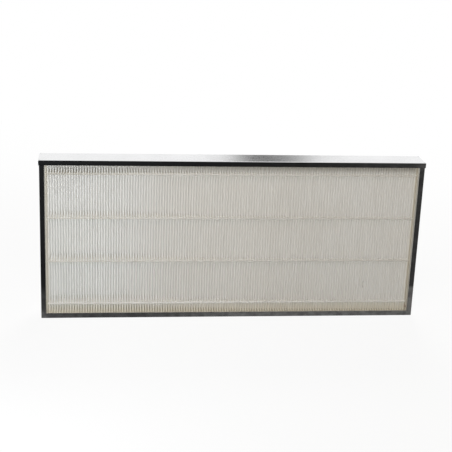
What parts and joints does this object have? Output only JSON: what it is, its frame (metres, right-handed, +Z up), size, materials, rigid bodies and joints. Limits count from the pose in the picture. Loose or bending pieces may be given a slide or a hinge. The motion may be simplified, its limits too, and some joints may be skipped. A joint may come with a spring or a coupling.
{
  "type": "flat pleated filter",
  "caption": "Flat rectangular air filter panel: a close pleated paper pack with separator beads, potted into a folded metal channel frame with a black gasket on its front face.",
  "frame": {"origin": "under the middle of the part on the surface it stands on, half way between the gasket's face and the rear face", "axes": "+X along the width to the right as seen from the front, -Y out of the front gasket face, +Z up"},
  "size_m": [0.702, 0.053, 0.3],
  "materials": {
    "sheet_metal": "satin mill finish",
    "rivet_metal": "satin",
    "gasket": "black closed-cell foam rubber with a slight sheen",
    "potting": "tan cast resin",
    "media": "matt glass-fibre filter paper",
    "bead": "off-white hot-melt glue"
  },
  "bodies": {
    "root": {"frame_wrap": "sheet_metal", "top_rail": "sheet_metal", "rail_rivets": "rivet_metal", "gasket_top": "gasket", "gasket_bottom": "gasket", "gasket_left": "gasket", "gasket_right": "gasket", "potting_top": "potting", "potting_bottom": "potting", "potting_left": "potting", "potting_right": "potting", "media_pack": "media", "front_bead_1": "bead", "front_bead_2": "bead", "front_bead_3": "bead", "front_bead_4": "bead", "rear_bead_1": "bead", "rear_bead_2": "bead", "rear_bead_3": "bead", "rear_bead_4": "bead"}
  },
  "joints": []
}
